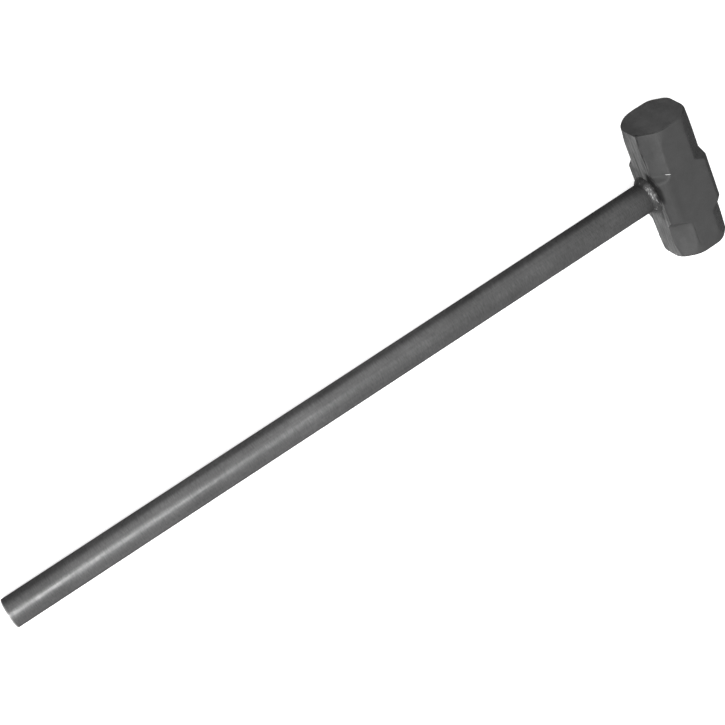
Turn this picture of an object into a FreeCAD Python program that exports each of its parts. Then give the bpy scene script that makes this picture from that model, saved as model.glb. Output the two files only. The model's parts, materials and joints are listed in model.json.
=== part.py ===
import FreeCAD, Part

import math
import os

import Sketcher

# All-steel sledge hammer: a forged double-faced head, a round tube handle whose turned spigot goes
# through the head's eye, a fillet weld at the neck and a groove weld at the crown.
#
# The hammer's own axes, before it is laid down: the origin is where the handle's axis crosses the
# head's axis, +X runs along the handle to the butt, -Y points out of the front striking face, and
# +Z points out of the upper cheek. Lengths are in millimetres.

DIMENSIONS = {
    "tube_od": 33.7,            # handle tube, outside diameter
    "tube_wall": 3.2,           # handle tube, wall
    "tube_reach": 823.3,        # eye centre to the cut end of the tube
    "deburr": 0.8,              # chamfer on the rims of the tube's butt end
    "spigot_cut": 0.35,         # depth turned off the tube where it goes into the eye
    "spigot_relief": 1.0,       # length turned beyond the neck weld's toe
    "head_width": 63.6,         # across the flats, along the handle
    "head_thickness": 65.2,     # cheek to cheek
    "face_front": 79.2,         # eye centre to the front striking face
    "face_back": 80.8,          # eye centre to the back striking face
    "end_chamfer": 17.6,        # corner chamfer of the octagonal ends
    "block_chamfer": 8.0,       # corner chamfer of the eye block
    "block_front": 24.0,        # eye centre to the front end of the eye block
    "block_back": 31.0,         # eye centre to the back end of the eye block
    "run_out": 8.0,             # length over which the small chamfer grows into the large one
    "rim_bevel": 1.6,           # bevel round each striking face
    "weld_leg": 7.2,            # neck weld, leg along the tube and along the head
    "weld_throat": 4.1,         # neck weld, how far its convex middle stands out along each leg
    "groove": 3.6,              # weld groove round the eye's mouth at the crown
    "weld_cap": 0.6,            # height of the crown weld above the head
}

# The eye and both welds fit the tube's turned spigot, so they all share its radius.
SPIGOT_RADIUS = "(<<sheet>>.tube_od / 2 - <<sheet>>.spigot_cut)"


def make_sheet(doc):
    """Put every driving dimension in a sheet, one row each: its name and its value."""
    sheet = doc.addObject("Spreadsheet::Sheet", "sheet")
    for row, (alias, value) in enumerate(DIMENSIONS.items(), start=1):
        sheet.set("A%d" % row, alias)
        sheet.set("B%d" % row, str(value))
        sheet.setAlias("B%d" % row, alias)
    doc.recompute()
    return sheet


def make_body(doc, name):
    """Start an empty sub-part whose label is its node's name."""
    body = doc.addObject("PartDesign::Body", name)
    body.Label = name
    return body


def sketch_on(body, name, role, offset=None):
    """Add a sketch on one of the body's origin planes, moved along its normal by an expression."""
    plane = [item for item in body.Origin.OriginFeatures if item.Role == role][0]
    sketch = body.newObject("Sketcher::SketchObject", name)
    sketch.AttachmentSupport = [(plane, "")]
    sketch.MapMode = "FlatFace"
    if offset:
        sketch.setExpression("AttachmentOffset.Base.z", offset)
    return sketch


def draw_polygon(sketch, corners):
    """Draw a closed outline; each corner is a pair of expressions for its sketch x and y."""
    doc = sketch.Document
    points = [[float(doc.sheet.evalExpression(text)) for text in corner] for corner in corners]
    count = len(points)
    for index in range(count):
        start = FreeCAD.Vector(*points[index], 0)
        end = FreeCAD.Vector(*points[(index + 1) % count], 0)
        sketch.addGeometry(Part.LineSegment(start, end))
    for index in range(count):
        sketch.addConstraint(Sketcher.Constraint("Coincident", index, 2, (index + 1) % count, 1))
    for index, (corner, point) in enumerate(zip(corners, points)):
        for kind, text, value in zip(("DistanceX", "DistanceY"), corner, point):
            number = sketch.addConstraint(Sketcher.Constraint(kind, -1, 1, index, 1, value))
            sketch.setExpression("Constraints[%d]" % number, text)


def draw_circle(sketch, diameter):
    """Draw a circle about the sketch's origin, its diameter bound to an expression."""
    value = float(sketch.Document.sheet.evalExpression(diameter))
    number = sketch.addGeometry(Part.Circle(FreeCAD.Vector(), FreeCAD.Vector(0, 0, 1), value / 2))
    sketch.addConstraint(Sketcher.Constraint("Coincident", number, 3, -1, 1))
    size = sketch.addConstraint(Sketcher.Constraint("Diameter", number, value))
    sketch.setExpression("Constraints[%d]" % size, diameter)


def octagon(body, name, chamfer, offset):
    """Sketch the head's section, a rectangle with its corners cut by one chamfer size."""
    sketch = sketch_on(body, name, "XZ_Plane", offset)
    outer_x = "<<sheet>>.head_width / 2"
    outer_z = "<<sheet>>.head_thickness / 2"
    inner_x = "%s - %s" % (outer_x, chamfer)
    inner_z = "%s - %s" % (outer_z, chamfer)
    quarter = [(outer_x, inner_z), (inner_x, outer_z)]
    corners = []
    for sign_x, sign_z in ((1, 1), (-1, 1), (-1, -1), (1, -1)):
        pair = [("%d * (%s)" % (sign_x, x), "%d * (%s)" % (sign_z, z)) for x, z in quarter]
        corners += pair if sign_x == sign_z else pair[::-1]
    draw_polygon(sketch, corners)
    return sketch


def edges_where(feature, test):
    """List the names of a feature's edges that pass a test."""
    return ["Edge%d" % number for number, edge in enumerate(feature.Shape.Edges, start=1) if test(edge)]


def chamfer_edges(body, name, base, test, size):
    """Chamfer the edges of the base feature that pass a test, to a size from the sheet."""
    chamfer = body.newObject("PartDesign::Chamfer", name)
    chamfer.Base = (base, edges_where(base, test))
    chamfer.setExpression("Size", size)
    body.Document.recompute()
    return chamfer


def lies_at(edge, axis, place):
    """Tell whether the whole edge lies in the plane where one coordinate has one value."""
    tolerance = 1e-4
    box = edge.BoundBox
    low = getattr(box, axis + "Min")
    high = getattr(box, axis + "Max")
    return abs(low - place) < tolerance and abs(high - place) < tolerance


def make_head(doc, sheet):
    """Forge the head: octagonal bar, squarer eye block with run-outs, bevelled faces, round eye."""
    body = make_body(doc, "hammer_head")
    bar_section = octagon(body, "bar_section", "<<sheet>>.end_chamfer", "-<<sheet>>.face_back")
    bar = body.newObject("PartDesign::Pad", "bar")
    bar.Profile = bar_section
    bar.setExpression("Length", "<<sheet>>.face_front + <<sheet>>.face_back")

    sections = [
        octagon(body, "front_end", "<<sheet>>.end_chamfer", "<<sheet>>.block_front + <<sheet>>.run_out"),
        octagon(body, "block_start", "<<sheet>>.block_chamfer", "<<sheet>>.block_front"),
        octagon(body, "block_finish", "<<sheet>>.block_chamfer", "-<<sheet>>.block_back"),
        octagon(body, "back_end", "<<sheet>>.end_chamfer", "-<<sheet>>.block_back - <<sheet>>.run_out"),
    ]
    block = body.newObject("PartDesign::AdditiveLoft", "eye_block")
    block.Profile = sections[0]
    block.Sections = sections[1:]
    block.Ruled = True
    doc.recompute()

    def on_a_face(edge):
        return lies_at(edge, "Y", -sheet.face_front) or lies_at(edge, "Y", sheet.face_back)

    chamfer_edges(body, "face_bevels", block, on_a_face, "<<sheet>>.rim_bevel")

    eye_circle = sketch_on(body, "eye_circle", "YZ_Plane")
    draw_circle(eye_circle, "2 * " + SPIGOT_RADIUS)
    eye = body.newObject("PartDesign::Pocket", "eye")
    eye.Profile = eye_circle
    eye.Type = "ThroughAll"
    eye.Midplane = True
    doc.recompute()

    def crown_mouth(edge):
        return isinstance(edge.Curve, Part.Circle) and lies_at(edge, "X", -sheet.head_width / 2)

    chamfer_edges(body, "weld_groove", eye, crown_mouth, "<<sheet>>.groove")
    return body


def make_tube(doc, sheet):
    """Cut the handle tube, turn its spigot for the eye and the neck weld, and deburr its butt."""
    body = make_body(doc, "handle_tube")
    crown = "-<<sheet>>.head_width / 2"
    ring = sketch_on(body, "tube_section", "YZ_Plane", crown)
    draw_circle(ring, "<<sheet>>.tube_od")
    draw_circle(ring, "<<sheet>>.tube_od - 2 * <<sheet>>.tube_wall")
    tube = body.newObject("PartDesign::Pad", "tube")
    tube.Profile = ring
    tube.setExpression("Length", "<<sheet>>.tube_reach + <<sheet>>.head_width / 2")

    skin = sketch_on(body, "turned_skin", "YZ_Plane", crown)
    draw_circle(skin, "<<sheet>>.tube_od + 2 * <<sheet>>.tube_wall")
    draw_circle(skin, "2 * " + SPIGOT_RADIUS)
    spigot = body.newObject("PartDesign::Pocket", "spigot")
    spigot.Profile = skin
    spigot.Reversed = True
    spigot.setExpression("Length", "<<sheet>>.head_width + <<sheet>>.weld_leg + <<sheet>>.spigot_relief")
    doc.recompute()
    if spigot.Shape.Volume >= tube.Shape.Volume:
        raise RuntimeError("the spigot's cut misses the tube")

    def butt_rim(edge):
        return lies_at(edge, "X", sheet.tube_reach)

    chamfer_edges(body, "butt_deburr", spigot, butt_rim, "<<sheet>>.deburr")
    return body


def make_ring(doc, name, corners):
    """Turn a weld bead about the handle's axis; its section is drawn in the upper half plane."""
    body = make_body(doc, name)
    section = sketch_on(body, name + "_section", "XY_Plane")
    draw_polygon(section, corners)
    ring = body.newObject("PartDesign::Revolution", name + "_ring")
    ring.Profile = section
    ring.ReferenceAxis = (section, ["H_Axis"])
    ring.Angle = 360
    doc.recompute()
    return body


def make_neck_weld(doc):
    """Lay the fillet bead in the corner between the head's handle side and the tube."""
    foot = "<<sheet>>.head_width / 2"
    skin = SPIGOT_RADIUS
    return make_ring(doc, "neck_weld", [
        (foot, skin),
        (foot + " + <<sheet>>.weld_leg", skin),
        (foot + " + <<sheet>>.weld_throat", skin + " + <<sheet>>.weld_throat"),
        (foot, skin + " + <<sheet>>.weld_leg"),
    ])


def make_crown_weld(doc):
    """Fill the groove round the tube at the crown and cap it with a low bead."""
    face = "-<<sheet>>.head_width / 2"
    skin = SPIGOT_RADIUS
    return make_ring(doc, "crown_weld", [
        (face + " + <<sheet>>.groove", skin),
        (face, skin + " + <<sheet>>.groove"),
        (face + " - <<sheet>>.weld_cap", skin + " + <<sheet>>.groove / 2"),
        (face, skin),
    ])


def lay_down(bodies, sheet):
    """Place every sub-part so that the hammer lies on a floor at Z = 0, centred on the origin.

    It rests on the handle-side edge of its lower cheek and on the rim of the butt, because its
    centre of mass lies beyond the head, so the whole hammer turns a little about Y.
    """
    fall = (sheet.head_thickness - sheet.tube_od) / 2
    cheek_edge = sheet.head_width / 2 - sheet.block_chamfer
    span = sheet.tube_reach - sheet.deburr - cheek_edge
    turn = FreeCAD.Rotation(FreeCAD.Vector(0, 1, 0), math.degrees(math.atan2(fall, span)))
    for body in bodies:
        body.Placement = FreeCAD.Placement(FreeCAD.Vector(), turn)
    whole = Part.makeCompound([body.Shape for body in bodies]).optimalBoundingBox(False, False)
    base = FreeCAD.Vector(-whole.Center.x, -whole.Center.y, -whole.ZMin)
    for body in bodies:
        body.Placement = FreeCAD.Placement(base, turn)
    return base, turn


def check(doc, bodies):
    """Stop if any object failed to compute or any sub-part is not one valid solid."""
    for item in doc.Objects:
        if "Invalid" in item.State or "Error" in item.State:
            raise RuntimeError("%s did not compute: %s" % (item.Name, item.State))
    for body in bodies:
        shape = body.Shape
        if shape.isNull() or not shape.isValid() or len(shape.Solids) != 1:
            raise RuntimeError("%s is not one valid solid" % body.Label)
        print("%-12s %8.1f cm3" % (body.Label, shape.Volume / 1000))


def main():
    doc = FreeCAD.newDocument("sledge_hammer")
    sheet = make_sheet(doc)
    bodies = [make_head(doc, sheet), make_tube(doc, sheet), make_neck_weld(doc), make_crown_weld(doc)]
    base, turn = lay_down(bodies, sheet)
    doc.recompute()
    check(doc, bodies)
    print("eye centre at", [round(value, 3) for value in base])
    print("tilt, degrees", round(math.degrees(turn.Angle), 4))
    os.makedirs("parts", exist_ok=True)
    for body in bodies:
        body.Shape.exportStep("parts/%s.step" % body.Label)


main()
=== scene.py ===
import json
import math

import bmesh
import bpy
import numpy as np
from mathutils import Matrix, Vector, noise


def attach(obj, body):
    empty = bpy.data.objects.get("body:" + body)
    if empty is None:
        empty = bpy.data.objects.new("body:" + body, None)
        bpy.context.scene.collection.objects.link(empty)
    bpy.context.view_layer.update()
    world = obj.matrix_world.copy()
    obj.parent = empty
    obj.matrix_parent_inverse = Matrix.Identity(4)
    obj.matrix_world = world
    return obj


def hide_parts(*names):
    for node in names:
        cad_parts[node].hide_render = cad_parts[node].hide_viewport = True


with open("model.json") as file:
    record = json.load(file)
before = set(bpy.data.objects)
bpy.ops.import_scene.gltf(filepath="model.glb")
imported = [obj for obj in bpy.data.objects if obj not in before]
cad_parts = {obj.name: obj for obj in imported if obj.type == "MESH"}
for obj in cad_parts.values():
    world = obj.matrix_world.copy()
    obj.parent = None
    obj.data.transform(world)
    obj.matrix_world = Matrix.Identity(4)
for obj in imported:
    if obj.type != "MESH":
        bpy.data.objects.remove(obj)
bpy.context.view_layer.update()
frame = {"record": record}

# ---------------------------------------------------------------------------------------------
# The hammer's own axes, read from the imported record's mounts: X along the handle to the butt,
# -Y out of the front striking face, +Z out of the upper cheek, origin at the middle of the eye.
# Every piece is built in these axes, in metres, and then laid down as the CAD model lies.
# ---------------------------------------------------------------------------------------------
MM = 0.001
mounts = {mount["name"]: mount for mount in frame["record"]["mounts"]}
grip = mounts["handle_outside"]
bore = mounts["handle_bore"]
front_centre = Vector(mounts["front_face"]["pos_m"])
back_centre = Vector(mounts["back_face"]["pos_m"])
handle_middle = Vector(grip["pos_m"])
ALONG = Vector(grip["axis"]).normalized()
BACK = Vector((0, 1, 0))
UP = ALONG.cross(BACK).normalized()
EYE = Vector((front_centre.x, handle_middle.y, front_centre.z))
LAY = Matrix.Translation(EYE) @ Matrix((ALONG, BACK, UP)).transposed().to_4x4()

TUBE_RADIUS = grip["dims"]["r_mm"] * MM
BORE_RADIUS = bore["dims"]["r_mm"] * MM
DEBURR = 0.8 * MM
STRAIGHT_END = (handle_middle - EYE).dot(ALONG) + grip["dims"]["length_mm"] * MM / 2
TUBE_END = STRAIGHT_END + DEBURR
CROWN = STRAIGHT_END - bore["dims"]["length_mm"] * MM
HALF_WIDTH = -CROWN
HALF_THICK = (Vector(mounts["upper_cheek"]["pos_m"]) - EYE).length
FACE_FRONT = EYE.y - front_centre.y
FACE_BACK = back_centre.y - EYE.y

# Directions round the handle's axis, as angles from the back towards the upper cheek: where the
# weld burnt the head and painted shade darkens it, where the neck bead is thinnest, where painted
# glints light the bead, and where a painted light band lightens the tube.
BURNT_SHADED_SIDE = math.radians(125)
THIN_SIDE = math.radians(180)
GLINT_SIDE = math.radians(128)
PAINTED_LIGHT_SIDE = math.radians(185)


# ---------------------------------------------------------------------------------------------
# Mesh helpers
# ---------------------------------------------------------------------------------------------
def smooth(value, start, end):
    """0 before start, 1 after end, and a smooth step between them."""
    share = np.clip((value - start) / (end - start), 0, 1)
    return share * share * (3 - 2 * share)


def mesh_piece(name, vertices, faces, node, sharp_degrees):
    """Make one piece from local vertices: smooth shading with sharp edges, riding on the root."""
    mesh = bpy.data.meshes.new(name)
    mesh.from_pydata([tuple(vertex) for vertex in vertices], [], faces)
    piece = bpy.data.objects.new(name, mesh)
    bpy.context.scene.collection.objects.link(piece)
    tidy_normals(piece, sharp_degrees)
    piece.matrix_world = LAY
    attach(piece, "root")
    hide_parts(node)
    return piece


def tidy_normals(piece, sharp_degrees):
    """Turn all faces outwards, shade them smooth and mark the edges that stay sharp."""
    work = bmesh.new()
    work.from_mesh(piece.data)
    bmesh.ops.recalc_face_normals(work, faces=work.faces)
    for face in work.faces:
        face.smooth = True
    sharpest = math.radians(sharp_degrees)
    for edge in work.edges:
        edge.smooth = len(edge.link_faces) == 2 and edge.calc_face_angle() < sharpest
    work.to_mesh(piece.data)
    work.free()


def ring_faces(rings, around, closed=False):
    """Quads between consecutive rings of vertices; closed joins the last ring to the first."""
    faces = []
    for ring in range(rings if closed else rings - 1):
        low = ring * around
        high = ((ring + 1) % rings) * around
        for step in range(around):
            after = (step + 1) % around
            faces.append((low + step, low + after, high + after, high + step))
    return faces


def lumps(point, size, seed):
    """Smooth noise from about -1 to 1 whose lumps are about size across."""
    return noise.noise(Vector(point) / size + Vector((seed, -seed, 2 * seed)))


# ---------------------------------------------------------------------------------------------
# Forged head
# ---------------------------------------------------------------------------------------------
HEAD_SHARP_DEGREES = 35
END_CHAMFER = 17.6 * MM
EDGE_RADIUS = 3.4 * MM
RING_STEP = 1.3 * MM
ARC_STEPS = 6
FLAT_STEPS = 10

# The hammer is forged by hand, so its four long corners differ. For each, in mm: its side in x and
# z; how far from the eye's centre the block ends and the full chamfer begins, at the front and at
# the back; how much wider than the others its chamfer is along x, front and back, and whether the
# skin is folded in along its edges; the block's chamfer along x and z, and how round it is; how
# round its two edges are at the front face; and how much longer the chamfer's legs are there.
CORNERS = (
    {"side": (1, 1), "front": (20.5, 28.5), "back": (30.0, 40.0), "wider": (-2.4, 2.4), "folded": True,
     "block": (10.0, 7.0), "block_round": 8.0, "face_round": (7, 17), "face_leg": 0.0},
    {"side": (-1, 1), "front": (20.8, 28.2), "back": (31.3, 41.0), "wider": (0, 0), "folded": False,
     "block": (7.2, 7.2), "block_round": 3.0, "face_round": (25, 17), "face_leg": -0.6},
    {"side": (-1, -1), "front": (24.0, 33.0), "back": (30.0, 40.0), "wider": (0, 0), "folded": False,
     "block": (8.0, 8.0), "block_round": 3.0, "face_round": (17, 15), "face_leg": -2.5},
    {"side": (1, -1), "front": (28.3, 38.5), "back": (29.5, 39.5), "wider": (0, 0), "folded": False,
     "block": (8.0, 8.0), "block_round": 3.0, "face_round": (26, 26), "face_leg": -1.2},
)

# Half width, half thickness and chamfer leg along the middle, at the front face and at the back.
# The end sizes blend into the middle ones over the last stretch before each face.
MIDDLE = np.array((HALF_WIDTH, HALF_THICK + 0.1 * MM, END_CHAMFER))
FRONT_END = np.array((31.7, 33.4, 17.9)) * MM
BACK_END = np.array((31.9, 32.5, 16.3)) * MM
BACK_ROUND = 21 * MM
END_BLEND = 21 * MM

# How far the crown side flares out at the front face, and how far the lower side keeps off the floor.
CROWN_FLARE = 0.9 * MM
FLOOR_GAP = 0.3 * MM

# The chamfers' width wanders, in mm, over stretches of this length.
WANDER = 0.5
WANDER_LENGTH = 7 * MM

# How worn the two edges of each long corner are, by the corner's side in x: first the edge beside
# the handle's or the crown's side, then the edge beside the cheek.
EDGE_WEAR = {1: (0.0, 0.1), -1: (0.4, 0.2)}

# How deep the folds in the skin are where they are full, and how full they are towards the back:
# on the handle's side and on the cheek.
FOLD_DEPTH = 0.35 * MM
SIDE_FOLD = 0.3
CHEEK_FOLD = 0.5

# The striking faces: how far each is crowned, how far the front one stands proud of the CAD face,
# the shares of its size at which it has rings, and how far from each the long sides' rings keep.
CROWN_HEIGHT = 0.7 * MM
FRONT_PROUD = 0.5 * MM
FACE_SHARES = (0.95, 0.88, 0.78, 0.66, 0.52, 0.38, 0.22, 0.08)
FRONT_MARGIN = 3.5 * MM
BACK_MARGIN = 3.0 * MM

# The rims of the striking faces: their rounding in mm, how much it varies, and how much more it is
# towards one side; then how grimy they are, and how much more they are towards another side.
RIM = 1.3
RIM_WAVE = 0.15
RIM_EXTRA = 2.2
RIM_STEPS = 6
ROUNDER_SIDE = math.radians(160)
RIM_GRIME = 0.2
RIM_GRIME_EXTRA = 0.6
DIRTY_SIDE = math.radians(35)

# The forged skin's swellings as (size, seed, height in mm), and its dents: only the tops of their
# noise, above a limit, are pressed in, by this depth in mm for each unit above it.
SWELLINGS = ((22 * MM, 3.7, 0.22), (7 * MM, 8.1, 0.10))
DENT_SIZE = 4.5 * MM
DENT_SEED = 21.3
DENT_LIMIT = 0.45
DENT_DEPTH = 0.9


def head_section(forward):
    """The head's outline across its length: points (x, z), and how worn and how grimy each is."""
    at_front = smooth(forward, FACE_FRONT - END_BLEND, FACE_FRONT)
    at_back = smooth(-forward, FACE_BACK - END_BLEND, FACE_BACK)
    between = 1 - at_front - at_back
    half_x, half_z, chamfer = MIDDLE * between + FRONT_END * at_front + BACK_END * at_back
    corners = []
    for corner in CORNERS:
        side_x, side_z = corner["side"]
        front = smooth(forward, *(value * MM for value in corner["front"]))
        back = smooth(-forward, *(value * MM for value in corner["back"]))
        cut = max(front, back)
        full = chamfer + corner["face_leg"] * MM * at_front
        leg_x, leg_z = (leg * MM + (full - leg * MM) * cut for leg in corner["block"])
        reach_x = half_x + CROWN_FLARE * at_front if side_x < 0 else half_x
        reach_z = min(half_z, HALF_THICK) - FLOOR_GAP if side_z < 0 else half_z
        wider = corner["wider"][0] * front * (1 - at_front) + corner["wider"][1] * back
        spot = (0.1 * side_x, forward, 0.1 * side_z)
        wider += WANDER * lumps(spot, WANDER_LENGTH, 2.5) * between
        plain = EDGE_RADIUS + (corner["block_round"] * MM - EDGE_RADIUS) * (1 - cut)
        beside_side = (reach_x, reach_z - leg_z)
        beside_cheek = (reach_x - leg_x - wider * MM, reach_z)
        pair = []
        for edge, (x, z) in enumerate((beside_side, beside_cheek)):
            radius = plain * between + corner["face_round"][edge] * MM * at_front + BACK_ROUND * at_back
            fold = 0.0
            if corner["folded"]:
                fold = CHEEK_FOLD * back * (1 - at_back) if edge else front + SIDE_FOLD * back
            pair.append((side_x * x, side_z * z, radius, EDGE_WEAR[side_x][edge], fold))
        corners += pair if side_x == side_z else pair[::-1]
    return round_polygon(np.array(corners))


def round_polygon(corners):
    """Round an octagon's corners with arcs, with evenly spaced points on its flats.

    Each corner is x, z, radius, wear and fold. Each row that comes back is x, z, wear and grime,
    which gathers in the folds.
    """
    places = corners[:, :2]
    cuts = corners[:, 2] * math.tan(math.pi / 8)
    following = np.roll(places, -1, axis=0)
    lengths = np.linalg.norm(following - places, axis=1)
    # Two arcs share each flat, so an arc takes less than half of it.
    cuts = np.minimum(cuts, 0.49 * np.minimum(lengths, np.roll(lengths, 1)))
    forward_ways = (following - places) / lengths[:, None]
    leave = places + forward_ways * cuts[:, None]
    arrive = places - np.roll(forward_ways, 1, axis=0) * cuts[:, None]
    rows = []
    for index, here in enumerate(places):
        wear, fold = corners[index, 3:]
        inward = here / np.linalg.norm(here) * fold * FOLD_DEPTH
        for step in range(ARC_STEPS + 1):
            share = step / ARC_STEPS
            rest = 1 - share
            spot = rest ** 2 * arrive[index] + 2 * share * rest * here + share**2 * leave[index]
            middle = math.sin(math.pi * share)
            grime = fold * math.sin(math.pi * share**1.7)
            rows.append((*(spot - inward * middle), wear * (0.4 + 0.6 * middle), grime))
        flat = arrive[(index + 1) % len(places)] - leave[index]
        for step in range(1, FLAT_STEPS):
            rows.append((*(leave[index] + flat * step / FLAT_STEPS), 0.0, 0.0))
    return np.array(rows)


def head_end(front):
    """Rings from the start of one rim's rounding to the middle of its face, with wear and grime."""
    sign = 1 if front else -1
    section = head_section(sign * (FACE_FRONT if front else FACE_BACK))
    reach = FACE_FRONT + CROWN_HEIGHT + FRONT_PROUD if front else FACE_BACK
    flat = section[:, :2]
    distance = np.linalg.norm(flat, axis=1)
    angle = np.arctan2(flat[:, 1], flat[:, 0])
    rounder = np.clip(np.cos(angle - ROUNDER_SIDE), 0, 1) ** 4
    wave = np.cos(3 * angle + 1) + np.sin(5 * angle)
    rim = (RIM + RIM_WAVE * wave + RIM_EXTRA * rounder) * MM
    dirty = RIM_GRIME + RIM_GRIME_EXTRA * np.clip(np.cos(angle - DIRTY_SIDE), 0, 1) ** 3
    rings = []
    for turn in np.linspace(0, math.pi / 2, RIM_STEPS):
        scale = 1 - rim * (1 - math.cos(turn)) / distance
        forward = reach - CROWN_HEIGHT - rim * (1 - math.sin(turn))
        grimy = np.maximum(section[:, 3], dirty * math.sin(2 * turn))
        rings.append(np.column_stack((flat[:, 0] * scale, -sign * forward, flat[:, 1] * scale,
                                      section[:, 2] * math.cos(turn), grimy)))
    inner = flat * (1 - rim / distance)[:, None]
    plain = np.zeros(len(inner))
    for share in FACE_SHARES:
        forward = np.full(len(inner), reach - CROWN_HEIGHT * share**2)
        rings.append(np.column_stack((inner[:, 0] * share, -sign * forward, inner[:, 1] * share,
                                      plain, plain)))
    return rings


def head_rings():
    """All rings of the head, from the middle of the front face to the middle of the back face."""
    rings = head_end(True)[::-1]
    for forward in np.arange(FACE_FRONT - FRONT_MARGIN, -(FACE_BACK - BACK_MARGIN), -RING_STEP):
        rings.append(np.insert(head_section(forward), 1, -forward, axis=1))
    return rings + head_end(False)


def forge_marks(vertices):
    """Move each point of the head a little away from its long axis or towards it."""
    centre = Vector((0, 0, 0))
    for index, point in enumerate(vertices):
        here = Vector(point)
        out = Vector((here.x, 0, here.z)).normalized() if here.xz.length > 1e-6 else centre
        swelling = sum(lumps(here, size, seed) * height for size, seed, height in SWELLINGS)
        dent = max(0.0, lumps(here, DENT_SIZE, DENT_SEED) - DENT_LIMIT) * DENT_DEPTH
        vertices[index] = here + out * (swelling - dent) * MM
    return vertices


def make_head():
    """Forge the head as one closed skin, then cut the round eye through it."""
    rings = head_rings()
    around = len(rings[0])
    table = np.vstack(rings)
    vertices = forge_marks(table[:, :3])
    faces = ring_faces(len(rings), around)
    first = len(vertices)
    tips = np.array(((0, rings[0][0, 1], 0), (0, rings[-1][0, 1], 0)))
    last_ring = (len(rings) - 1) * around
    for step in range(around):
        after = (step + 1) % around
        faces.append((after, step, first))
        faces.append((last_ring + step, last_ring + after, first + 1))
    piece = mesh_piece("forged_head", np.vstack((vertices, tips)), faces, "hammer_head",
                       HEAD_SHARP_DEGREES)
    for name, column in (("worn", 3), ("grimy", 4)):
        values = piece.data.attributes.new(name, "FLOAT", "POINT")
        values.data.foreach_set("value", np.append(table[:, column], (0.0, 0.0)).astype(np.float32))
    cut_eye(piece)
    return piece


def cut_eye(piece):
    """Cut the round eye that the handle's tube fills."""
    cutter_mesh = bpy.data.meshes.new("eye_cutter")
    work = bmesh.new()
    bmesh.ops.create_cone(work, cap_ends=True, segments=96, radius1=TUBE_RADIUS, radius2=TUBE_RADIUS,
                          depth=4 * HALF_WIDTH, matrix=Matrix.Rotation(math.pi / 2, 4, "Y"))
    work.to_mesh(cutter_mesh)
    work.free()
    cutter = bpy.data.objects.new("eye_cutter", cutter_mesh)
    bpy.context.scene.collection.objects.link(cutter)
    cutter.matrix_world = LAY
    cut = piece.modifiers.new("eye", "BOOLEAN")
    cut.operation = "DIFFERENCE"
    cut.solver = "EXACT"
    cut.object = cutter
    bpy.context.view_layer.update()
    evaluated = piece.evaluated_get(bpy.context.evaluated_depsgraph_get())
    cut_mesh = bpy.data.meshes.new_from_object(evaluated)
    piece.modifiers.clear()
    old = piece.data
    piece.data = cut_mesh
    cut_mesh.name = "forged_head"
    bpy.data.meshes.remove(old)
    bpy.data.objects.remove(cutter)
    tidy_normals(piece, HEAD_SHARP_DEGREES)


# ---------------------------------------------------------------------------------------------
# Handle tube
# ---------------------------------------------------------------------------------------------
TUBE_SHARP_DEGREES = 60
TUBE_AROUND = 112
OUTSIDE_RINGS = 180
BORE_RINGS = 60
RIM_RINGS = 5

# Drawn tube is very slightly wavy: the waves' height and length, and how far from the handle's axis
# their noise is read.
TUBE_WAVE = 0.05 * MM
TUBE_WAVE_LENGTH = 45 * MM
TUBE_WAVE_RADIUS = 20 * MM


def tube_profile():
    """The tube's wall as (distance along, radius), outside first, then the bore, going round."""
    rim = DEBURR
    outside = [(x, TUBE_RADIUS) for x in np.linspace(CROWN + rim, TUBE_END - rim, OUTSIDE_RINGS)]
    turns = np.linspace(0, math.pi / 2, RIM_RINGS)
    butt_outer = [(TUBE_END - rim + rim * math.sin(turn), TUBE_RADIUS - rim * (1 - math.cos(turn)))
                  for turn in turns[1:]]
    butt_inner = [(TUBE_END - rim * (1 - math.cos(turn)), BORE_RADIUS + rim * (1 - math.sin(turn)))
                  for turn in turns]
    inside = [(x, BORE_RADIUS) for x in np.linspace(TUBE_END - rim, CROWN + rim, BORE_RINGS)[1:]]
    # The crown bead covers the outer rim of this end, so a coarse bevel will do.
    crown = [(CROWN + rim * 0.3, BORE_RADIUS + rim * 0.3), (CROWN, BORE_RADIUS + rim),
             (CROWN, TUBE_RADIUS - rim), (CROWN + rim * 0.3, TUBE_RADIUS - rim * 0.3)]
    return outside + butt_outer + butt_inner + inside + crown


def make_tube():
    """Turn the wall's profile about the handle's axis, with the slight waviness of drawn tube."""
    angles = np.linspace(0, 2 * math.pi, TUBE_AROUND, endpoint=False)
    rings = []
    for x, radius in tube_profile():
        spots = [(x, math.cos(angle) * TUBE_WAVE_RADIUS, math.sin(angle) * TUBE_WAVE_RADIUS)
                 for angle in angles]
        grown = radius + np.array([lumps(spot, TUBE_WAVE_LENGTH, 5.5) * TUBE_WAVE for spot in spots])
        along = np.full(TUBE_AROUND, x)
        rings.append(np.column_stack((along, grown * np.cos(angles), grown * np.sin(angles))))
    faces = ring_faces(len(rings), TUBE_AROUND, closed=True)
    return mesh_piece("tube_handle", np.vstack(rings), faces, "handle_tube",
                      TUBE_SHARP_DEGREES)


# ---------------------------------------------------------------------------------------------
# Weld beads
# ---------------------------------------------------------------------------------------------
BEAD_SHARP_DEGREES = 50
RIPPLES = 50
POINTS_PER_RIPPLE = 8
BEAD_ACROSS = 18

# How far a bead's skin is sunk into its neighbours, and how far its buried root goes in.
BEAD_SINK = 0.15 * MM
BEAD_ROOT = 1.0 * MM

# How high the ripples are, how far their middles lag behind their ends, in ripples, and how much
# shorter the leg on the head is on the burnt side and on the thin side.
RIPPLE_HEIGHT = 0.28 * MM
RIPPLE_LAG = 0.9
BURNT_SHORTER = 0.25
THIN_SHORTER = 0.32

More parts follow.
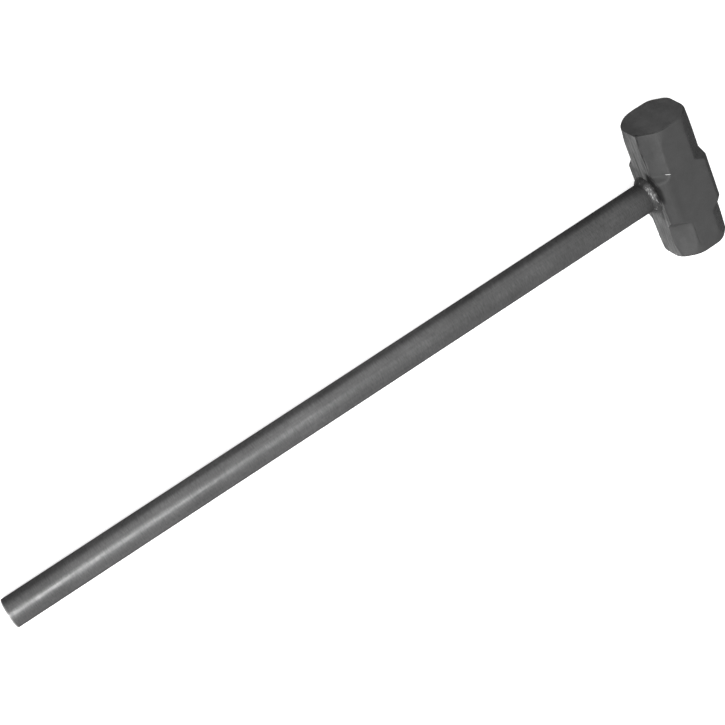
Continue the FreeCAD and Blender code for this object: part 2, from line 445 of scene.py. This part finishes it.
# A bead's unevenness as (size of its lumps, what is added to the seed, how much it does): in the
# leg along the tube, the leg along the head and the height, as shares, and in the ripples, in
# ripples. The noise is read on a circle of this radius.
TUBE_LEG_LUMPS = (9 * MM, 0, 0.12)
HEAD_LEG_LUMPS = (8 * MM, 4, 0.10)
HEIGHT_LUMPS = (12 * MM, 9, 0.35)
RIPPLE_LUMPS = (5 * MM, 2, 0.9)
BEAD_LUMP_RADIUS = 30 * MM

# Each bead: its piece and node; where along X the head meets the tube and the way out of the head;
# its legs along the tube and along the head; its height above the straight line between its toes;
# and its noise seed.
BEADS = (
    ("neck_bead", "neck_weld", HALF_WIDTH, 1, (7.2 * MM, 6.2 * MM), 1.1 * MM, 1.3),
    ("crown_bead", "crown_weld", CROWN, -1, (0.5 * MM, 4.2 * MM), 0.5 * MM, 6.2),
)


def weld_bead(name, node, corner_x, side, legs, bulge, seed):
    """A bead round the tube with overlapping ripples, as one row of BEADS says."""
    around = RIPPLES * POINTS_PER_RIPPLE
    vertices = []
    for step in range(around):
        angle = 2 * math.pi * step / around
        way = (math.cos(angle), math.sin(angle))
        spot = (way[0] * BEAD_LUMP_RADIUS, way[1] * BEAD_LUMP_RADIUS, 0)
        on_tube, on_head, in_height, in_ripples = (
            most * lumps(spot, size, seed + added)
            for size, added, most in (TUBE_LEG_LUMPS, HEAD_LEG_LUMPS, HEIGHT_LUMPS, RIPPLE_LUMPS))
        shorter = (BURNT_SHORTER * math.cos(angle - BURNT_SHADED_SIDE)
                   + THIN_SHORTER * max(0.0, math.cos(angle - THIN_SIDE)) ** 4)
        leg_tube = legs[0] * (1 + on_tube)
        leg_head = legs[1] * (1 - shorter + on_head)
        high = bulge * (1 + in_height)
        start = RIPPLES * step / around + in_ripples
        for index in range(BEAD_ACROSS + 1):
            share = index / BEAD_ACROSS
            arch = math.sin(math.pi * share)
            ripple = abs(math.sin(math.pi * (start + RIPPLE_LAG * arch))) ** 0.6 - 0.6
            height = (high * arch ** 0.8 + ripple * RIPPLE_HEIGHT * arch) / math.sqrt(2)
            x = corner_x + side * (leg_tube * (1 - share) + height - BEAD_SINK)
            out = TUBE_RADIUS + leg_head * share + height - BEAD_SINK
            vertices.append((x, way[0] * out, way[1] * out))
        buried = TUBE_RADIUS - BEAD_ROOT
        vertices.append((corner_x - side * BEAD_ROOT, way[0] * buried, way[1] * buried))
    faces = ring_faces(around, BEAD_ACROSS + 2, closed=True)
    return mesh_piece(name, vertices, faces, node, BEAD_SHARP_DEGREES)


# ---------------------------------------------------------------------------------------------
# Materials
# ---------------------------------------------------------------------------------------------
# How light each kind of surface is, from 0 for black to 1 for white.
HEAD_GREY = 0.0455
GROUND_GREY = 0.165
WORN_GREY = 0.20
# The soot grey also serves as the painted shade beside the neck weld.
SOOT_AND_SHADE_GREY = 0.008
# The nick grey paints the scrape near-white, as a glint.
NICK_GLINT_GREY = 0.95
TUBE_GREY = 0.115
CUT_GREY = 0.35
WELD_GREY = 0.11
# The crest grey is the grey of the painted glints.
PAINTED_GLINT_GREY = 0.45

# The scrape on the edge of the upper cheek, painted near-white as a glint: its centre, its slant,
# and half its length and width.
NICK_X = 18.4 * MM
NICK_Y = -28.4 * MM
NICK_SLANT = math.radians(10)
NICK_HALF_LENGTH = 2.4 * MM
NICK_HALF_WIDTH = 0.30 * MM


class Nodes:
    """A node tree: small calls that add one or a few nodes each and return their output.

    A value is a number or a socket. Places and distances are in metres, as everywhere here.
    """

    def __init__(self, tree):
        self.tree = tree

    def node(self, kind, inputs=(), **settings):
        """Add one node with its settings, and set its inputs or link them."""
        made = self.tree.nodes.new(kind)
        for key, value in settings.items():
            setattr(made, key, value)
        for key, value in dict(inputs).items():
            if isinstance(value, bpy.types.NodeSocket):
                self.tree.links.new(value, made.inputs[key])
            else:
                made.inputs[key].default_value = value
        return made

    def spread(self, value, low, high, new_low, new_high, **settings):
        """Spread the range from low to high over another, and keep the result inside it."""
        inputs = {"Value": value, "From Min": low, "From Max": high,
                  "To Min": new_low, "To Max": new_high}
        return self.node("ShaderNodeMapRange", inputs, **settings).outputs[0]

    def rise(self, value, none, full):
        """0 at one value and before it, 1 at the other and past it, whichever of them is higher."""
        return self.spread(value, none, full, 0.0, 1.0)

    def fall(self, value, full, none):
        """1 at one value and before it, 0 at the other and past it."""
        return self.spread(value, full, none, 1.0, 0.0)

    def vary(self, fleck, low, high):
        """Spread a noise's usual range over two other values."""
        return self.spread(fleck, 0.3, 0.7, low, high)

    def math(self, operation, first, second=0.0):
        """One calculation with two values."""
        return self.node("ShaderNodeMath", {0: first, 1: second}, operation=operation).outputs[0]

    def times(self, first, *others):
        """Multiply two or more values."""
        for other in others:
            first = self.math("MULTIPLY", first, other)
        return first

    def tinted(self, value, mask, factor):
        """Multiply a value by a factor where a mask is 1."""
        return self.times(value, self.spread(mask, 0.0, 1.0, 1.0, factor))

    def mix(self, share, first, second):
        """Go from the first value to the second as the share goes from 0 to 1."""
        return self.node("ShaderNodeMix", {"Factor": share, "A": first, "B": second}).outputs[0]

    def parts(self, socket):
        """The x, y and z of a vector."""
        return self.node("ShaderNodeSeparateXYZ", {0: socket}).outputs

    def grey(self, value):
        """A neutral colour from one value."""
        return self.node("ShaderNodeCombineColor", {0: value, 1: value, 2: value}).outputs[0]

    def length(self, first, second):
        """The length of a vector with these two parts."""
        squares = self.math("ADD", self.times(first, first), self.times(second, second))
        return self.math("POWER", squares, 0.5)

    def towards(self, y, z, reach, side):
        """How nearly a point lies towards one side of the handle's axis: 1 there, -1 opposite."""
        along = self.math("ADD", self.times(y, math.cos(side)), self.times(z, math.sin(side)))
        return self.math("DIVIDE", along, reach)


class Finish(Nodes):
    """A procedural material."""

    def __init__(self, name):
        self.material = bpy.data.materials.new(name)
        self.material.use_nodes = True
        super().__init__(self.material.node_tree)
        self.shader = self.tree.nodes["Principled BSDF"]
        self.where = self.tree.nodes.new("ShaderNodeTexCoord")

    def place(self):
        """The x, y and z of a point in the hammer's own axes."""
        return self.parts(self.where.outputs["Object"])

    def noise(self, scale, detail=4.0, rough=0.55):
        """Noise whose scale is the number of lumps in a metre along x, y and z."""
        spot = self.node("ShaderNodeMapping", {"Vector": self.where.outputs["Object"], "Scale": scale})
        inputs = {"Vector": spot.outputs[0], "Scale": 1.0, "Detail": detail, "Roughness": rough}
        return self.node("ShaderNodeTexNoise", inputs).outputs["Fac"]

    def painted(self, name):
        """A value that the mesh holds for each of its points."""
        return self.node("ShaderNodeAttribute", attribute_name=name).outputs["Fac"]

    def bump(self, height, distance, strength, below=None):
        """Relief from a height, on top of the relief below it."""
        inputs = {"Height": height, "Distance": distance, "Strength": strength}
        if below:
            inputs["Normal"] = below
        return self.node("ShaderNodeBump", inputs).outputs[0]

    def feed(self, **sockets):
        """Link values that vary to the shader."""
        for key, value in sockets.items():
            self.tree.links.new(value, self.shader.inputs[key.replace("_", " ")])

    def fix(self, **values):
        """Set the shader's own values."""
        for key, value in values.items():
            self.shader.inputs[key.replace("_", " ")].default_value = value


def forged_steel():
    """Dark forged skin, ground brighter on the handle side, worn edges, grime, soot with painted shade.
    """
    finish = Finish("forged_steel")
    x, y, z = finish.place()
    facing = finish.parts(finish.where.outputs["Normal"])[0]
    reach = finish.length(y, z)
    mottle = finish.noise((90, 90, 90), 6.0, 0.6)
    grain = finish.noise((900, 900, 900), 3.0, 0.7)
    cloud = finish.noise((26, 26, 26), 3.0, 0.5)
    scale = finish.noise((420, 300, 420), 4.0, 0.75)
    scratch = finish.noise((260, 16, 620), 5.0, 0.65)

    on_crown_side = finish.rise(facing, -0.35, -0.6)
    flaked = finish.mix(on_crown_side, 1.0, finish.spread(scale, 0.38, 0.62, 0.6, 1.35))
    skin = finish.times(finish.vary(mottle, 0.9, 1.1), finish.vary(grain, 0.9, 1.1),
                        finish.vary(cloud, 0.93, 1.07), flaked, HEAD_GREY)
    skin = patchy_skin(finish, skin, x, y, facing, reach)
    on_ground_side = ground_mask(finish, y, facing, cloud)
    burnt_shade = burnt_shade_mask(finish, x, y, z, reach, mottle)
    nick_glint = nick_glint_mask(finish, x, y, z)

    wear = finish.times(finish.spread(finish.painted("worn"), 0.3, 1.0, 0.0, 0.6),
                        finish.spread(finish.noise((60, 22, 60), 4.0, 0.7), 0.4, 0.6, 0.1, 1.0),
                        finish.rise(reach, 31 * MM, 38 * MM))
    grime = finish.times(finish.spread(finish.painted("grimy"), 0.15, 0.6, 0.0, 0.88),
                         finish.spread(mottle, 0.35, 0.6, 0.4, 1.0))
    shade = finish.mix(on_ground_side, skin, ground_steel(finish, y, scratch))
    shade = finish.mix(wear, shade, WORN_GREY)
    shade = finish.mix(grime, shade, SOOT_AND_SHADE_GREY)
    # The burnt ring paints heat soot and the shade of the undercut beside the neck bead.
    shade = finish.mix(finish.times(burnt_shade, 0.92), shade, SOOT_AND_SHADE_GREY)
    # The nick paints the scrape near-white, as its glint.
    shade = finish.mix(nick_glint, shade, NICK_GLINT_GREY)

    rough = finish.mix(on_ground_side, finish.vary(mottle, 0.48, 0.62), finish.vary(scratch, 0.36, 0.5))
    rough = finish.mix(nick_glint, rough, 0.22)
    metal = finish.mix(on_ground_side, 0.15, 0.35)
    metal = finish.mix(burnt_shade, metal, 0.5)
    metal = finish.mix(nick_glint, metal, 0.6)

    relief = finish.bump(finish.noise((140, 140, 140), 5.0, 0.6), 0.5 * MM, 0.4)
    relief = finish.bump(grain, 0.18 * MM, 0.4, relief)
    relief = finish.bump(finish.times(scale, on_crown_side), 0.9 * MM, 0.8, relief)
    relief = finish.bump(finish.times(scratch, on_ground_side), 0.5 * MM, 0.8, relief)
    relief = finish.bump(nick_glint, 0.6 * MM, 0.6, relief)
    finish.feed(Base_Color=finish.grey(shade), Roughness=rough, Metallic=metal, Normal=relief)
    return finish.material


def patchy_skin(finish, skin, x, y, facing, reach):
    """The forged skin's grey, darker and lighter in places.

    It is dingy on the crown side, heated dark round the weld, dusky on the front end's handle side,
    and rubbed lighter in patches on the chamfers that face the handle.
    """
    dingy = finish.times(finish.rise(facing, -0.3, -0.6),
                         finish.spread(y, -20 * MM, 20 * MM, 1.0, 0.45))
    heated = finish.times(finish.fall(reach, 36 * MM, 62 * MM), finish.rise(x, 12 * MM, 24 * MM))
    dusky = finish.times(finish.rise(x, 16 * MM, 24 * MM), finish.fall(y, -60 * MM, -30 * MM))
    patches = finish.noise((70, 45, 70), 3.0, 0.55)
    lightened = finish.times(finish.rise(facing, 0.45, 0.62),
                          finish.spread(patches, 0.42, 0.58, 0.35, 1.0))
    for mask, factor in ((dingy, 0.70), (heated, 0.74), (dusky, 0.76), (lightened, 1.32)):
        skin = finish.tinted(skin, mask, factor)
    return skin


def ground_steel(finish, y, scratch):
    """The ground steel's grey: streaks along the head, a little lighter towards the back."""
    long_scratch = finish.noise((120, 7, 300), 2.0, 0.6)
    blotch = finish.noise((180, 60, 240), 3.0, 0.6)
    return finish.times(finish.spread(scratch, 0.35, 0.68, 0.6, 1.45),
                        finish.spread(long_scratch, 0.35, 0.65, 0.8, 1.2),
                        finish.spread(blotch, 0.35, 0.65, 0.75, 1.25),
                        finish.spread(y, -30 * MM, 30 * MM, 0.88, 1.12), GROUND_GREY)


def ground_mask(finish, y, facing, cloud):
    """1 on the handle's side, with a ragged edge; on the eye block the grinder missed a bit more."""
    ragged = finish.math("ADD", facing, finish.vary(cloud, -0.05, 0.05))
    missed = finish.spread(finish.math("ABSOLUTE", y), 28 * MM, 38 * MM, 0.09, 0.0)
    return finish.rise(finish.math("SUBTRACT", ragged, missed), 0.84, 0.93)


def burnt_shade_mask(finish, x, y, z, reach, mottle):
    """1 in a ring of soot and painted shade round the neck weld, on the head's handle side only."""
    uneven = finish.math("ADD", reach, finish.vary(mottle, -1.2 * MM, 1.2 * MM))
    ring = finish.times(finish.fall(uneven, 30 * MM, 33.5 * MM),
                        finish.rise(x, HALF_WIDTH - 3.6 * MM, HALF_WIDTH - 1.4 * MM))
    return finish.times(ring, finish.rise(finish.towards(y, z, reach, BURNT_SHADED_SIDE), 0.68, 0.84))


def nick_glint_mask(finish, x, y, z):
    """1 in a scrape painted near-white as a glint, across the upper cheek's edge with the handle-side
    chamfer.
    """
    from_x = finish.math("SUBTRACT", x, NICK_X)
    from_y = finish.math("SUBTRACT", y, NICK_Y)
    cosine, sine = math.cos(NICK_SLANT), math.sin(NICK_SLANT)
    length = finish.math("SUBTRACT", finish.times(from_x, cosine), finish.times(from_y, sine))
    width = finish.math("ADD", finish.times(from_x, sine), finish.times(from_y, cosine))
    long_way = finish.math("DIVIDE", length, NICK_HALF_LENGTH)
    short_way = finish.math("DIVIDE", width, NICK_HALF_WIDTH)
    away = finish.math("ADD", finish.times(long_way, long_way), finish.times(short_way, short_way))
    return finish.times(finish.fall(away, 0.5, 1.1), finish.rise(z, 0.0, HALF_THICK * 0.5))


def turned_tube_steel():
    """Satin steel tube: fine lines round it, faint streaks along it, stains, specks and a painted light
    band.
    """
    finish = Finish("turned_tube_steel")
    x, y, z = finish.place()
    fine = finish.noise((1500, 170, 170), 3.0, 0.7)
    coarse = finish.noise((420, 30, 30), 2.0, 0.6)
    along = finish.noise((6, 520, 520), 3.0, 0.6)
    stain = finish.noise((18, 30, 30), 5.0, 0.6)
    speck = finish.noise((350, 350, 350), 4.0, 0.7)

    shade = finish.times(finish.vary(fine, 0.75, 1.25), finish.vary(along, 0.93, 1.07),
                         finish.vary(stain, 0.85, 1.15), finish.spread(speck, 0.66, 0.76, 1.0, 0.6),
                         TUBE_GREY)
    heated = finish.spread(x, HALF_WIDTH + 7 * MM, HALF_WIDTH + 26 * MM, 0.75, 1.0)
    dusky = finish.spread(x, HALF_WIDTH, TUBE_END * 0.5, 0.75, 1.0)
    shade = finish.times(shade, finish.times(heated, dusky))
    # A lighter band along the side that faces the front, fading out near both ends: painted light.
    lightened = finish.times(finish.rise(finish.towards(y, z, TUBE_RADIUS, PAINTED_LIGHT_SIDE), 0.3, 0.85),
                          finish.fall(x, TUBE_END * 0.8, TUBE_END * 0.95),
                          finish.spread(x, HALF_WIDTH + 28 * MM, TUBE_END * 0.35, 0.05, 1.0))
    shade = finish.tinted(shade, lightened, 1.38)
    shade = finish.mix(finish.rise(x, TUBE_END - 1.7 * MM, TUBE_END - 1.2 * MM), shade, CUT_GREY)

    rough = finish.math("ADD", finish.vary(coarse, -0.06, 0.06), finish.vary(stain, 0.38, 0.46))
    relief = finish.bump(coarse, 0.30 * MM, 0.5)
    relief = finish.bump(fine, 0.10 * MM, 0.8, relief)
    relief = finish.bump(along, 0.04 * MM, 0.4, relief)
    finish.feed(Base_Color=finish.grey(shade), Roughness=rough, Normal=relief)
    finish.fix(Metallic=0.85)
    return finish.material


def weld_steel():
    """Weld metal: dull grey, painted shade and light by side, painted glints, a sooty shaded toe."""
    finish = Finish("weld_steel")
    y, z = finish.place()[1:3]
    reach = finish.length(y, z)
    patch = finish.noise((420, 140, 420), 3.0, 0.6)
    fine = finish.noise((900, 900, 900), 3.0, 0.6)

    # Painted glints: lighter, smoother patches, most of them on one side of the bead.
    painted_glint_side = finish.spread(finish.towards(y, z, reach, GLINT_SIDE), 0.88, 0.98, 0.0, 0.11)
    painted_glints = finish.rise(finish.math("ADD", patch, painted_glint_side), 0.62, 0.71)
    burnt_shaded_side = finish.towards(y, z, reach, BURNT_SHADED_SIDE)
    # The bead is painted darker away from the burnt side, as shade, and lighter towards its lower end,
    # as light.
    dull = finish.times(finish.vary(fine, WELD_GREY * 0.7, WELD_GREY * 1.3),
                        finish.spread(burnt_shaded_side, 0.80, 0.95, 0.45, 1.0),
                        finish.spread(burnt_shaded_side, -0.1, 0.3, 2.2, 1.0))
    # Soot and painted shade on the bead's toe, on the burnt side.
    at_toe = finish.spread(reach, TUBE_RADIUS + 3.0 * MM, TUBE_RADIUS + 4.2 * MM, 0.0, 0.9)
    sooty_shade = finish.times(at_toe, finish.rise(burnt_shaded_side, 0.70, 0.86))
    shade = finish.mix(painted_glints, dull, PAINTED_GLINT_GREY)
    shade = finish.mix(sooty_shade, shade, SOOT_AND_SHADE_GREY)

    relief = finish.bump(fine, 0.2 * MM, 0.5)
    relief = finish.bump(patch, 0.8 * MM, 0.6, relief)
    finish.feed(Base_Color=finish.grey(shade), Roughness=finish.mix(painted_glints, 0.5, 0.3), Normal=relief)
    finish.fix(Metallic=0.6)
    return finish.material


def floor_paper():
    """Matt pale studio paper on a light table, with a barely visible grain."""
    finish = Finish("floor_paper")
    fibre = finish.noise((400, 400, 400), 4.0, 0.6)
    finish.feed(Base_Color=finish.grey(finish.vary(fibre, 0.91, 0.93)))
    finish.fix(Roughness=0.9, Emission_Color=(1, 1, 1, 1), Emission_Strength=0.65)
    return finish.material


def give(piece, material):
    """Give a piece one material."""
    piece.data.materials.clear()
    piece.data.materials.append(material)


# ---------------------------------------------------------------------------------------------
# Floor, lights and camera
# ---------------------------------------------------------------------------------------------
FLOOR_HALF = 12.0

# Each light: its name, the place along the tube that it faces, where it stands from there, its two
# sides in metres, and its power in watts.
LIGHTS = (
    ("key", TUBE_END, (0.24, -0.56, 1.50), (0.42, 0.42), 15),
    ("overhead", TUBE_END / 2, (0.5, 0.0, 3.2), (4.0, 4.0), 10),
    ("side", TUBE_END / 2, (2.4, 0.2, 1.0), (2.0, 1.6), 7),
)

# The surround's light by direction: between two values of a direction's z or x, it grows from the
# least to the most. The two shares are multiplied.
SURROUND_STRENGTH = 1.25
SURROUND_RAMPS = {"Z": (-0.45, 0.05, 0.08, 1.0), "X": (-0.75, 0.0, 0.4, 0.86)}

# The camera's direction from its aim, its roll and distance, and its aim from the eye's centre.
CAMERA_AZIMUTH = math.radians(14.197)
CAMERA_ELEVATION = math.radians(56.666)
CAMERA_ROLL = math.radians(-134.38)
CAMERA_DISTANCE = 1.569
CAMERA_LENS = 75.5
CAMERA_SHIFT = (0.0342, -0.0103)
AIM_ALONG_HANDLE = 0.4046
AIM_OFFSET = Vector((-0.0004, -0.0317, -0.0201))


def make_floor():
    """A large plain floor under the hammer that gives no glossy reflection on the steel."""
    sides = ((-1, -1), (1, -1), (1, 1), (-1, 1))
    mesh = bpy.data.meshes.new("floor")
    mesh.from_pydata([(x * FLOOR_HALF, y * FLOOR_HALF, 0) for x, y in sides], [], [(0, 1, 2, 3)])
    floor = bpy.data.objects.new("floor", mesh)
    bpy.context.scene.collection.objects.link(floor)
    floor.visible_glossy = False
    give(floor, floor_paper())


def area_light(name, faces_along, offset, size, power):
    """A rectangular soft light turned to face a point on the handle's axis, as LIGHTS says."""
    aim = LAY @ Vector((faces_along, 0, 0))
    light = bpy.data.lights.new(name, "AREA")
    light.shape = "RECTANGLE"
    light.size, light.size_y = size
    light.energy = power
    holder = bpy.data.objects.new(name, light)
    bpy.context.scene.collection.objects.link(holder)
    holder.location = aim + Vector(offset)
    holder.rotation_mode = "QUATERNION"
    holder.rotation_quaternion = (aim - holder.location).to_track_quat("-Z", "Y")


def make_surround():
    """A world that is brightest above the horizon and towards the butt."""
    world = bpy.data.worlds.new("surround")
    world.use_nodes = True
    sky = Nodes(world.node_tree)
    direction = sky.parts(sky.node("ShaderNodeTexCoord").outputs["Generated"])
    light = sky.times(*(sky.spread(direction[axis], *levels, interpolation_type="SMOOTHSTEP")
                        for axis, levels in SURROUND_RAMPS.items()))
    background = sky.tree.nodes["Background"]
    sky.tree.links.new(sky.grey(light), background.inputs["Color"])
    background.inputs["Strength"].default_value = SURROUND_STRENGTH
    bpy.context.scene.world = world


def make_camera():
    """Look down on the hammer from the front face's side, rolled so the head is at upper right."""
    level = math.cos(CAMERA_ELEVATION)
    back = Vector((math.sin(CAMERA_AZIMUTH) * level, -math.cos(CAMERA_AZIMUTH) * level,
                   math.sin(CAMERA_ELEVATION)))
    aim = EYE + ALONG * AIM_ALONG_HANDLE + AIM_OFFSET
    camera_data = bpy.data.cameras.new("camera")
    camera_data.lens = CAMERA_LENS
    camera_data.shift_x, camera_data.shift_y = CAMERA_SHIFT
    camera = bpy.data.objects.new("camera", camera_data)
    bpy.context.scene.collection.objects.link(camera)
    camera.location = aim + back * CAMERA_DISTANCE
    camera.rotation_mode = "QUATERNION"
    unrolled = (-back).to_track_quat("-Z", "Y")
    camera.rotation_quaternion = unrolled @ Matrix.Rotation(-CAMERA_ROLL, 3, "Z").to_quaternion()
    bpy.context.scene.camera = camera


give(make_head(), forged_steel())
give(make_tube(), turned_tube_steel())
bead_steel = weld_steel()
for bead in BEADS:
    give(weld_bead(*bead), bead_steel)
make_floor()
for light in LIGHTS:
    area_light(*light)
make_surround()
make_camera()
bpy.context.scene.view_settings.view_transform = "Standard"
